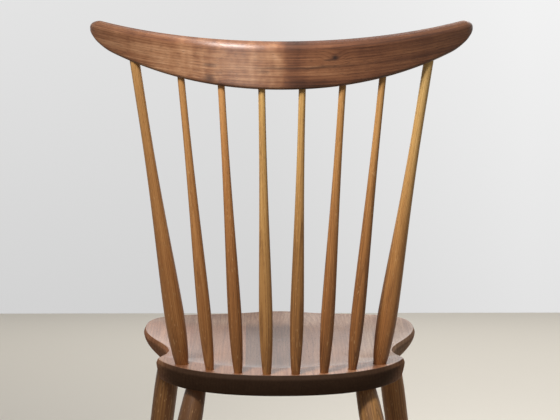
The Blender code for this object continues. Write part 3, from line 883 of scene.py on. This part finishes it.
# Painted shade: a band along the crest's lower edge is darkened, most just right of its middle.
CREST_LOW_PAINTED_SHADE_SHARES = ((0.0, 0.2), (0.38, 0.22), (0.42, 0.5), (0.46, 0.5), (0.5, 0.2))
CREST_LOW_PAINTED_SHADE_FROM = 29 * MM
CREST_LOW_PAINTED_SHADE_TO = 5 * MM
CREST_CURL_SHARES = ((0.0, 0.2), (0.5, 0.25), (0.518, 0.7), (0.7, 0.85), (0.8, 0.35), (1.0, 0.2))
CREST_STREAK_SHARES = ((0.0, 0.0), (0.33, 0.2), (0.42, 1.0), (0.5, 0.9), (0.57, 0.4), (0.62, 0.0))

# Knots and dark marks: centre and half size, each as (up the rail, along it), then how many rings they
# pull out and how dark they are. The pull reaches further than the mark.
CREST_KNOTS = (
    ((48 * MM, -72 * MM), (7 * MM, 9 * MM), 1.6, 1.0),
    ((45 * MM, -64 * MM), (2.5 * MM, 12 * MM), 0.6, 0.7),
    ((15 * MM, 99 * MM), (11 * MM, 12 * MM), 0.8, 0.62),
    ((35 * MM, 98 * MM), (5 * MM, 17 * MM), 0.4, 0.45),
    ((29 * MM, 25 * MM), (3 * MM, 14 * MM), 0.3, 0.4),
)
KNOT_REACH = 2.6

# The crest's polish: a sheen drawn out across the rail, and a surface that is smoother where it is rubbed
CREST_ROUGHNESS = 0.42
CREST_RUBBED_ROUGHNESS = -0.04
CREST_RUB_STRENGTH = 0.05
CREST_SHEEN_STRETCH = 0.92
CREST_SHEEN_TURN = 0.25
CREST_SPECULAR = 0.36
CREST_RELIEF = 0.06 * MM

# The seat's boards: their rings, how far each is cut from the last, and their tones from right to left.
# The deck behind the crease is lighter, a painted light, and the front edge paler and greyer, a painted
# sheen.
SEAT_RING_WIDTH = 4.6 * MM
SEAT_RING_SWAY = 14 * MM
SEAT_RING_WAVES = (11, 11, 3.5)
SEAT_LIGHT = 0.65
SEAT_FIGURE = 0.62
BOARD_SHIFT = 37 * MM
BOARD_PITH = -395 * MM
BOARD_SLIDE = 700 * MM
BOARD_MIDDLE = 0.5
BOARD_TONE_SHARES = (
    (0.0, (1.08, 1.3, 1.5)),
    (0.2, (0.82, 0.79, 0.75)),
    (0.4, (0.5, 0.5, 0.52)),
    (0.6, (1.08, 1.0, 0.92)),
    (0.8, (1.2, 1.05, 0.95)),
)
# Painted light: the deck behind the crease is made lighter.
DECK_PAINTED_LIGHT_TONE = (1.18, 1.15, 1.12)
DECK_PAINTED_LIGHT_BLEND = 5 * MM
# Painted sheen: the seat is made paler and greyer towards its front edge.
FRONT_PAINTED_SHEEN_TONE = (1.2, 1.45, 1.8)
FRONT_PAINTED_SHEEN_FROM = 75 * MM
FRONT_PAINTED_SHEEN_TO = 30 * MM
GLUE_LINE_HALF_WIDTH = 0.2 * MM
GLUE_LINE_REACH = 0.6 * MM
GLUE_LINE_STRENGTH = 0.35

# The seat's end grain, by how squarely the surface faces along the boards, darker at the tail as painted
# shade, and its polish
END_GRAIN_FACING = (0.1, 0.6)
# Painted shade: end grain darkened more at the tail than at the front.
TAIL_END_GRAIN_AND_PAINTED_SHADE = 0.96
FRONT_END_DARKENING = 0.55
SEAT_TOP_ROUGHNESS = 0.42
SEAT_TOP_SPECULAR = 0.5
SEAT_EDGE_ROUGHNESS = 0.6
SEAT_EDGE_SPECULAR = 0.03
SEAT_RUB_STRENGTH = 0.03
SEAT_RELIEF = 0.04 * MM

# Oak: its layers, its rings, and its colours for red and for yellow wood
OAK_LAYERS = {
    "streaks": (320, 6, 3.0, 0.6),
    "fibres": (1700, 34),
    "zones": (70, 3.0, 1.0),
    "pores": (1900, 130, 1.0),
    "flecks": (520, 110, 1.0),
}
OAK_WEIGHTS = {"streaks": 0.75, "fibres": 0.3, "zones": 0.45, "ring": -0.16, "tone": 0.33}
OAK_BASE_LIGHT = -0.16
OAK_FIBRE_RIDGE = 0.4
OAK_PORE_RANGE = (0.52, 0.64)
OAK_PORE_STRENGTH = 0.5
OAK_LATE_PORE_SHARE = 0.25
OAK_FLECK_RANGE = (0.66, 0.74)
OAK_FLECK_STRENGTH = 0.4
OAK_RING_WIDTH = 2.3 * MM
OAK_RING_SWAY = 3.5 * MM
OAK_RING_WAVES = (22, 22, 3.0)
OAK_RING_SHARES = ((0.0, 1.0), (0.22, 0.75), (0.4, 0.1), (0.9, 0.0), (1.0, 0.8))
OAK_RED_SHARES = (
    (0.0, (0.110, 0.040, 0.014)),
    (0.4, (0.290, 0.118, 0.036)),
    (0.7, (0.400, 0.180, 0.060)),
    (1.0, (0.500, 0.255, 0.095)),
)
OAK_YELLOW_SHARES = (
    (0.0, (0.130, 0.064, 0.022)),
    (0.4, (0.380, 0.212, 0.068)),
    (0.7, (0.500, 0.312, 0.108)),
    (1.0, (0.600, 0.400, 0.155)),
)
OAK_PORE = (0.100, 0.042, 0.016)
OAK_FLECK = (0.520, 0.310, 0.140)
OAK_ROUGHNESS = 0.42
OAK_PORE_ROUGHNESS = 0.14
OAK_SPECULAR = 0.25
OAK_RELIEF = 0.05 * MM

# Scuffs round the feet
SCUFF_COLOUR = (0.120, 0.085, 0.060)
SCUFF_HEIGHT = 34 * MM
SCUFF_WAVES = (90, 90, 60)
SCUFF_DETAIL = 3.0
SCUFF_RANGE = (0.4, 0.65)
SCUFF_STRENGTH = 0.45
SCUFF_ROUGHNESS = 0.2


class Finish(Nodes):
    """One material under way."""

    def __init__(self, name):
        self.material = bpy.data.materials.new(name)
        self.material.use_nodes = True
        self.shader = self.material.node_tree.nodes["Principled BSDF"]
        super().__init__(self.material.node_tree)

    def kept(self, name, output="Fac"):
        """A value that the piece's mesh keeps at each vertex."""
        return self.add("ShaderNodeAttribute", {}, output, attribute_name=name)

    def finish(self, colour, roughness, height, depth, specular):
        bump = self.add("ShaderNodeBump", {"Strength": 1.0, "Distance": depth, "Height": height})
        for name, value in (("Base Color", colour), ("Roughness", roughness), ("Normal", bump)):
            self.tree.links.new(value, self.shader.inputs[name])
        self.shader.inputs["Specular IOR Level"].default_value = specular
        return self.material


def rings_out(paint, grain, ring_width, sway_depth, sway_waves):
    """How many growth rings out from the pith a place lies, with a slow sway along the plank."""
    sway = paint.vector("SUBTRACT", paint.noise(grain, sway_waves, output="Color"), (NOISE_MEAN,) * 3)
    swayed = paint.vector("MULTIPLY_ADD", sway, (sway_depth, sway_depth, 0), grain)
    return paint.calc("DIVIDE", paint.length(paint.vector("MULTIPLY", swayed, (1, 1, 0))), ring_width)


def figure_layers(paint, grain, layers):
    """Each layer of a wood's figure, as noise drawn out along the grain."""
    drawn = {}
    for name, (across, along, *rest) in layers.items():
        drawn[name] = paint.noise(grain, (across, across, along), *rest)
    return drawn


def lightness(paint, layers, weights, base):
    """A base and each layer times its weight, added up."""
    light = base
    for name, weight in weights.items():
        light = paint.calc("MULTIPLY_ADD", layers[name], weight, light)
    return light


def grain_height(paint, fibres, ridge, pores):
    """The surface's height: fibres stand out and pores sink in."""
    return paint.calc("SUBTRACT", paint.calc("MULTIPLY", fibres, ridge), pores)


def walnut(paint, grain, rings, lift, figure):
    """Walnut's colour and surface height: rings, drawn-out streaks, fine fibres and short dark pores.

    The lift is the wood's mean lightness, from 0 to 1, and the figure how far its grain stands out.
    """
    layers = figure_layers(paint, grain, WALNUT_LAYERS)
    layers["ring"] = paint.ramp(paint.calc("FRACT", rings), WALNUT_RING_SHARES)
    light = lightness(paint, layers, WALNUT_WEIGHTS, WALNUT_BASE_LIGHT)
    light = paint.calc("MULTIPLY_ADD", light, figure, lift)
    pores = paint.ranged(layers["pores"], *WALNUT_PORE_RANGE)
    colour = paint.ramp(light, WALNUT_COLOUR_SHARES)
    colour = paint.stain(colour, pores, WALNUT_PORE_STRENGTH, WALNUT_PORE)
    return colour, grain_height(paint, layers["fibres"], WALNUT_FIBRE_RIDGE, pores), pores


def near_knot(paint, grain, centre, size):
    """From 0 away from a knot to 1 at its middle. The centre and the size are (across, along)."""
    offset = paint.vector("SUBTRACT", grain, (centre[0], 0, centre[1]))
    return paint.fade(paint.length(paint.vector("MULTIPLY", offset, (1 / size[0], 0, 1 / size[1]))), 0.0, 1.0)


def crest_tone_and_painted_light(paint, grain, place):
    """How light the crest is: its tone along the rail, partly a painted sheen on its left length, its curl,
    and a band of painted shade near each long edge.
    """
    across = paint.part(grain, 0)
    curl = paint.noise(grain, CREST_CURL_WAVES, roughness=CREST_CURL_ROUGHNESS)
    curl = paint.calc("SUBTRACT", curl, NOISE_MEAN)
    curl = paint.calc("MULTIPLY", curl, paint.ramp(place, CREST_CURL_SHARES))
    # Lighter along the left length: partly the wood's tone, partly a painted sheen.
    lift = paint.calc("ADD", paint.ramp(place, CREST_TONE_AND_SHEEN_SHARES), curl)
    # Painted shade: bands darkened under the top edge and along the lower edge.
    start = CREST_HEIGHT - CREST_TOP_PAINTED_SHADE_FROM
    high = paint.ranged(across, start, CREST_HEIGHT - CREST_TOP_PAINTED_SHADE_TO, smooth=True)
    low = paint.fade(across, CREST_LOW_PAINTED_SHADE_TO, CREST_LOW_PAINTED_SHADE_FROM)
    for band, shares in ((high, CREST_TOP_PAINTED_SHADE_SHARES), (low, CREST_LOW_PAINTED_SHADE_SHARES)):
        lift = paint.calc("SUBTRACT", lift, paint.calc("MULTIPLY", band, paint.ramp(place, shares)))
    return lift


def crest_streak(paint, grain, place):
    """The dark streak along the crest: 1 along its middle, 0 beside it and towards the tips."""
    sway = paint.noise(grain, CREST_STREAK_WAVES)
    swayed = paint.calc("MULTIPLY_ADD", sway, CREST_STREAK_SWAY, paint.part(grain, 0))
    beside = paint.calc("ABSOLUTE", paint.calc("SUBTRACT", swayed, CREST_STREAK_HEIGHT))
    dark = paint.fade(beside, 0.0, CREST_STREAK_WIDTH)
    return paint.calc("MULTIPLY", dark, paint.ramp(place, CREST_STREAK_SHARES))


def crest_walnut():
    """The crest's wood: two lengths that meet in the middle, the left one more figured and lighter, its
    lightness partly a painted sheen.
    """
    paint = Finish("crest_walnut")
    grain = paint.kept("grain", "Vector")
    planked = paint.vector("ADD", grain, CREST_PITH)
    rings = rings_out(paint, planked, CREST_RING_WIDTH, CREST_RING_SWAY, CREST_RING_WAVES)
    for centre, size, pull, _ in CREST_KNOTS:
        around = (size[0] * KNOT_REACH, size[1] * KNOT_REACH)
        rings = paint.calc("MULTIPLY_ADD", near_knot(paint, grain, centre, around), pull, rings)
    wander = paint.noise(grain, CREST_TONE_WAVES)
    place = paint.calc("MULTIPLY_ADD", wander, CREST_TONE_WANDER, paint.part(grain, 2))
    place = paint.ranged(place, -CREST_TONE_REACH, CREST_TONE_REACH)
    lift = crest_tone_and_painted_light(paint, grain, place)
    colour, height, pores = walnut(paint, planked, rings, lift, CREST_FIGURE)
    colour = paint.stain(colour, crest_streak(paint, grain, place), CREST_STREAK_STRENGTH, WALNUT_PORE)
    for centre, size, _, darkness in CREST_KNOTS:
        colour = paint.stain(colour, near_knot(paint, grain, centre, size), darkness, WALNUT_KNOT)
    wear = paint.kept("wear")
    colour = paint.stain(colour, wear, CREST_RUB_STRENGTH, WALNUT_RUBBED)
    roughness = paint.calc("MULTIPLY_ADD", pores, WALNUT_PORE_ROUGHNESS, CREST_ROUGHNESS)
    roughness = paint.calc("MULTIPLY_ADD", wear, CREST_RUBBED_ROUGHNESS, roughness)
    across_face = paint.vector("CROSS_PRODUCT", paint.add("ShaderNodeNewGeometry", {}, "Normal"), (0, 0, 1))
    paint.tree.links.new(across_face, paint.shader.inputs["Tangent"])
    paint.shader.inputs["Anisotropic"].default_value = CREST_SHEEN_STRETCH
    paint.shader.inputs["Anisotropic Rotation"].default_value = CREST_SHEEN_TURN
    return paint.finish(colour, roughness, height, CREST_RELIEF, CREST_SPECULAR)


def seat_boards(paint, across):
    """How many glue lines lie on the chair's right of a place, and how far the nearest one is."""
    board = 0.0
    line = SEAT_WIDTH
    for joint in BOARD_JOINTS:
        board = paint.calc("ADD", board, paint.calc("GREATER_THAN", across, joint))
        line = paint.calc("MINIMUM", line, paint.calc("ABSOLUTE", paint.calc("SUBTRACT", across, joint)))
    return board, line


def seat_tone_and_painted_light(paint, grain, board):
    """Each board's tone, a painted light on the deck behind the crease, and a painted sheen towards the front
    edge.
    """
    share = paint.calc("DIVIDE", paint.calc("ADD", board, BOARD_MIDDLE), len(BOARD_JOINTS) + 1)
    tone = paint.ramp(share, BOARD_TONE_SHARES)
    tone.node.color_ramp.interpolation = "CONSTANT"
    from_centre = paint.vector("SUBTRACT", grain, (0, 0, CREASE_FORWARD + CREASE_RADIUS))
    run = paint.length(paint.vector("MULTIPLY", from_centre, (1, 0, 1)))
    # Painted light on the deck behind the crease.
    deck = paint.ranged(paint.calc("SUBTRACT", run, CREASE_RADIUS), 0.0, DECK_PAINTED_LIGHT_BLEND)
    tone = paint.mix(deck, tone, DECK_PAINTED_LIGHT_TONE)
    # Painted sheen: paler and greyer towards the front edge.
    start = SEAT_DEPTH - FRONT_PAINTED_SHEEN_FROM
    front = paint.ranged(paint.part(grain, 2), start, SEAT_DEPTH - FRONT_PAINTED_SHEEN_TO, smooth=True)
    return paint.mix(front, tone, FRONT_PAINTED_SHEEN_TONE)


def seat_walnut(name, base_roughness, specular):
    """The seat's wood: boards that run front to back, each with its tone, painted light on the deck, a
    painted sheen at the front, and dark end grain, darkest at the tail as painted shade.
    """
    paint = Finish(name)
    grain = paint.kept("grain", "Vector")
    board, line = seat_boards(paint, paint.part(grain, 0))
    shift = paint.calc("MULTIPLY", board, BOARD_SHIFT)
    slide = paint.calc("MULTIPLY", board, BOARD_SLIDE)
    moved = paint.add("ShaderNodeCombineXYZ", {0: shift, 1: BOARD_PITH, 2: slide})
    planked = paint.vector("ADD", grain, moved)
    rings = rings_out(paint, planked, SEAT_RING_WIDTH, SEAT_RING_SWAY, SEAT_RING_WAVES)
    colour, height, pores = walnut(paint, planked, rings, SEAT_LIGHT, SEAT_FIGURE)
    colour = paint.vector("MULTIPLY", colour, seat_tone_and_painted_light(paint, grain, board))
    seam = paint.ranged(line, GLUE_LINE_HALF_WIDTH, GLUE_LINE_REACH, GLUE_LINE_STRENGTH, 0.0)
    colour = paint.mix(seam, colour, WALNUT_PORE)
    normal = paint.add("ShaderNodeNewGeometry", {}, "Normal")
    facing = paint.calc("ABSOLUTE", paint.vector("DOT_PRODUCT", normal, (0, 1, 0), output="Value"))
    end = paint.ranged(facing, *END_GRAIN_FACING, smooth=True)
    # End grain, darkened more towards the tail as painted shade.
    end_grain_and_shade = paint.ranged(paint.part(grain, 2), 0.0, SEAT_DEPTH, TAIL_END_GRAIN_AND_PAINTED_SHADE, FRONT_END_DARKENING)
    colour = paint.stain(colour, end, end_grain_and_shade, WALNUT_END_GRAIN_AND_SHADE)
    colour = paint.stain(colour, paint.kept("wear"), SEAT_RUB_STRENGTH, WALNUT_RUBBED)
    roughness = paint.calc("MULTIPLY_ADD", pores, WALNUT_PORE_ROUGHNESS, base_roughness)
    return paint.finish(colour, roughness, height, SEAT_RELIEF, specular)


def oak():
    """The turnings' wood: rings with open pores, ray flecks, and each piece's tone and hue, which on a
    spindle also carry a painted light that rises towards the crest.
    """
    paint = Finish("oak")
    grain = paint.kept("grain", "Vector")
    layers = figure_layers(paint, grain, OAK_LAYERS)
    rings = rings_out(paint, grain, OAK_RING_WIDTH, OAK_RING_SWAY, OAK_RING_WAVES)
    layers["ring"] = paint.ramp(paint.calc("FRACT", rings), OAK_RING_SHARES)
    layers["tone"] = paint.kept("tone")
    light = lightness(paint, layers, OAK_WEIGHTS, OAK_BASE_LIGHT)
    red = paint.ramp(light, OAK_RED_SHARES)
    colour = paint.mix(paint.kept("hue"), red, paint.ramp(light, OAK_YELLOW_SHARES))
    open_share = paint.calc("MULTIPLY_ADD", layers["ring"], 1 - OAK_LATE_PORE_SHARE, OAK_LATE_PORE_SHARE)
    pores = paint.calc("MULTIPLY", paint.ranged(layers["pores"], *OAK_PORE_RANGE), open_share)
    colour = paint.stain(colour, pores, OAK_PORE_STRENGTH, OAK_PORE)
    flecks = paint.ranged(layers["flecks"], *OAK_FLECK_RANGE)
    colour = paint.stain(colour, flecks, OAK_FLECK_STRENGTH, OAK_FLECK)
    place = paint.add("ShaderNodeTexCoord", {}, "Object")
    low = paint.fade(paint.part(place, 2), 0.0, SCUFF_HEIGHT)
    scuff = paint.ranged(paint.noise(place, SCUFF_WAVES, SCUFF_DETAIL), *SCUFF_RANGE)
    scuff = paint.calc("MULTIPLY", low, scuff)
    colour = paint.stain(colour, scuff, SCUFF_STRENGTH, SCUFF_COLOUR)
    roughness = paint.calc("MULTIPLY_ADD", pores, OAK_PORE_ROUGHNESS, OAK_ROUGHNESS)
    roughness = paint.calc("MULTIPLY_ADD", scuff, SCUFF_ROUGHNESS, roughness)
    height = grain_height(paint, layers["fibres"], OAK_FIBRE_RIDGE, pores)
    return paint.finish(colour, roughness, height, OAK_RELIEF, OAK_SPECULAR)


# Stage

# The wall's tone: it rises from low to high between two slopes of view, and again towards the chair's right
WALL_LOW = 0.645
WALL_HIGH = 0.785
WALL_FALL_RANGE = (-0.2, -0.07)
WALL_SIDE_RANGE = (0.0, -0.1)
WALL_SIDE_RISE = 0.12
WALL_FORWARD = 2.57
AMBIENT = 0.25

# The floor and its faint clouds
FLOOR_REACH = 14.0
FLOOR_COLOUR = (0.76, 0.705, 0.61)
FLOOR_WAVES = (2.2, 0.7, 1)
FLOOR_DETAIL = 3.0
FLOOR_CLOUD = 1.05
FLOOR_CLOUD_RANGE = (0.3, 0.7)
FLOOR_ROUGHNESS_RANGE = (0.5, 0.6)
FLOOR_SPECULAR = 0.3
FLOOR_RELIEF = 0.02 * MM

# Lamps: the key's place is an azimuth, an angle up and a distance from the crest's middle. The other
# two stand off from the seat's middle.
KEY_AZIMUTH = math.radians(22)
KEY_HEIGHT_ANGLE = math.radians(43)
KEY_DISTANCE = 1.5
KEY_SIZE = (0.3, 0.36)
KEY_SPREAD = math.radians(33)
KEY_POWER = 2.55
FILL_PLACE = (0, -2.4, 0.25)
FILL_POWER = 5
FILL_SIZE = (2.4, 0.3)
FRONT_PLACE = (-0.8, -2.0, 1.7)
FRONT_POWER = 25
FRONT_SIZE = (1.2, 1.2)


def pale_wall():
    """The world: a pale wall to the camera and in reflections, and a plain soft light to everything else."""
    world = bpy.data.worlds.new("studio")
    world.use_nodes = True
    tree = world.node_tree
    paint = Nodes(tree)
    direction = paint.add("ShaderNodeTexCoord", {}, "Generated")
    fall = paint.ranged(paint.part(direction, 2), *WALL_FALL_RANGE, WALL_LOW, WALL_HIGH)
    side = paint.ranged(paint.part(direction, 0), *WALL_SIDE_RANGE, 0.0, WALL_SIDE_RISE)
    path = tree.nodes.new("ShaderNodeLightPath").outputs
    seen = paint.calc("MAXIMUM", path["Is Camera Ray"], path["Is Glossy Ray"])
    seen = paint.calc("MAXIMUM", seen, path["Is Transmission Ray"])
    mixed = paint.add("ShaderNodeMix", {0: seen, 2: AMBIENT, 3: paint.calc("ADD", fall, side)})
    tree.links.new(mixed, tree.nodes["Background"].inputs["Color"])
    bpy.context.scene.world = world


def add_floor():
    """A plain pale floor that ends where the wall would stand."""
    reach = FLOOR_REACH
    wall_y = TAIL_Y - WALL_FORWARD
    corners = [(-reach, wall_y, 0), (reach, wall_y, 0), (reach, reach, 0), (-reach, reach, 0)]
    mesh = bpy.data.meshes.new("floor")
    mesh.from_pydata(corners, [], [(0, 1, 2, 3)])
    floor = bpy.data.objects.new("floor", mesh)
    bpy.context.scene.collection.objects.link(floor)
    paint = Finish("floor")
    cloud = paint.noise(paint.add("ShaderNodeTexCoord", {}, "Object"), FLOOR_WAVES, FLOOR_DETAIL)
    pale = paint.mix(cloud, FLOOR_COLOUR, tuple(value * FLOOR_CLOUD for value in FLOOR_COLOUR))
    rough = paint.ranged(cloud, *FLOOR_CLOUD_RANGE, *FLOOR_ROUGHNESS_RANGE)
    mesh.materials.append(paint.finish(pale, rough, cloud, FLOOR_RELIEF, FLOOR_SPECULAR))


def add_lamp(name, place, aim, power, size, spread=math.pi):
    lamp = bpy.data.lights.new(name, "AREA")
    lamp.spread = spread
    lamp.shape = "RECTANGLE"
    lamp.size, lamp.size_y = size
    lamp.energy = power
    holder = bpy.data.objects.new(name, lamp)
    bpy.context.scene.collection.objects.link(holder)
    holder.location = place
    holder.rotation_mode = "QUATERNION"
    holder.rotation_quaternion = (aim - place).to_track_quat("-Z", "Y")
    holder.visible_camera = False


def add_lamps():
    """A narrow key above and behind the chair's left, a low wide fill in front, a soft lamp above it."""
    crest = crest_frame() @ Vector((0, 0, CREST_HEIGHT / 2))
    level = math.cos(KEY_HEIGHT_ANGLE)
    turned = (math.sin(KEY_AZIMUTH) * level, math.cos(KEY_AZIMUTH) * level)
    key = crest + Vector((*turned, math.sin(KEY_HEIGHT_ANGLE))) * KEY_DISTANCE
    add_lamp("key", key, crest, KEY_POWER, KEY_SIZE, KEY_SPREAD)
    middle = in_world(0, SEAT_DEPTH / 2, SEAT_HEIGHT)
    add_lamp("fill", middle + Vector(FILL_PLACE), middle, FILL_POWER, FILL_SIZE)
    add_lamp("front", middle + Vector(FRONT_PLACE), middle, FRONT_POWER, FRONT_SIZE)


def add_camera():
    data = bpy.data.cameras.new("camera")
    data.sensor_width = SENSOR_WIDTH
    data.lens = FOCAL_PIXELS / PHOTO_WIDTH_PIXELS * SENSOR_WIDTH
    data.shift_x = (PHOTO_WIDTH_PIXELS / 2 - CHAIR_MIDDLE_PIXEL) / PHOTO_WIDTH_PIXELS
    data.clip_start, data.clip_end = CAMERA_CLIP
    camera = bpy.data.objects.new("camera", data)
    bpy.context.scene.collection.objects.link(camera)
    back = CAMERA_REACH * Vector((math.sin(CAMERA_TURN), math.cos(CAMERA_TURN), 0))
    camera.location = Vector((0, TAIL_Y, CAMERA_HEIGHT)) + back
    camera.rotation_euler = (math.pi / 2 - CAMERA_FALL, 0, math.pi - CAMERA_TURN)
    bpy.context.scene.camera = camera


# The whole scene


def build():
    wood = oak()
    tree = turning_tree()
    seat_top = seat_walnut("seat_top_walnut", SEAT_TOP_ROUGHNESS, SEAT_TOP_SPECULAR)
    add_seat(seat_top, seat_walnut("seat_edge_walnut", SEAT_EDGE_ROUGHNESS, SEAT_EDGE_SPECULAR))
    add_crest(crest_walnut())
    add_spindles(tree, wood)
    seed = SPINDLE_COUNT
    for front, end in ((True, "front"), (False, "rear")):
        for side, hand in ((1, "left"), (-1, "right")):
            add_leg(f"leg_{end}_{hand}", front, side, seed, tree, wood)
            seed += 1
    add_stretchers(tree, wood)
    pale_wall()
    add_floor()
    add_lamps()
    add_camera()
    bpy.context.scene.view_settings.view_transform = "Standard"


build()
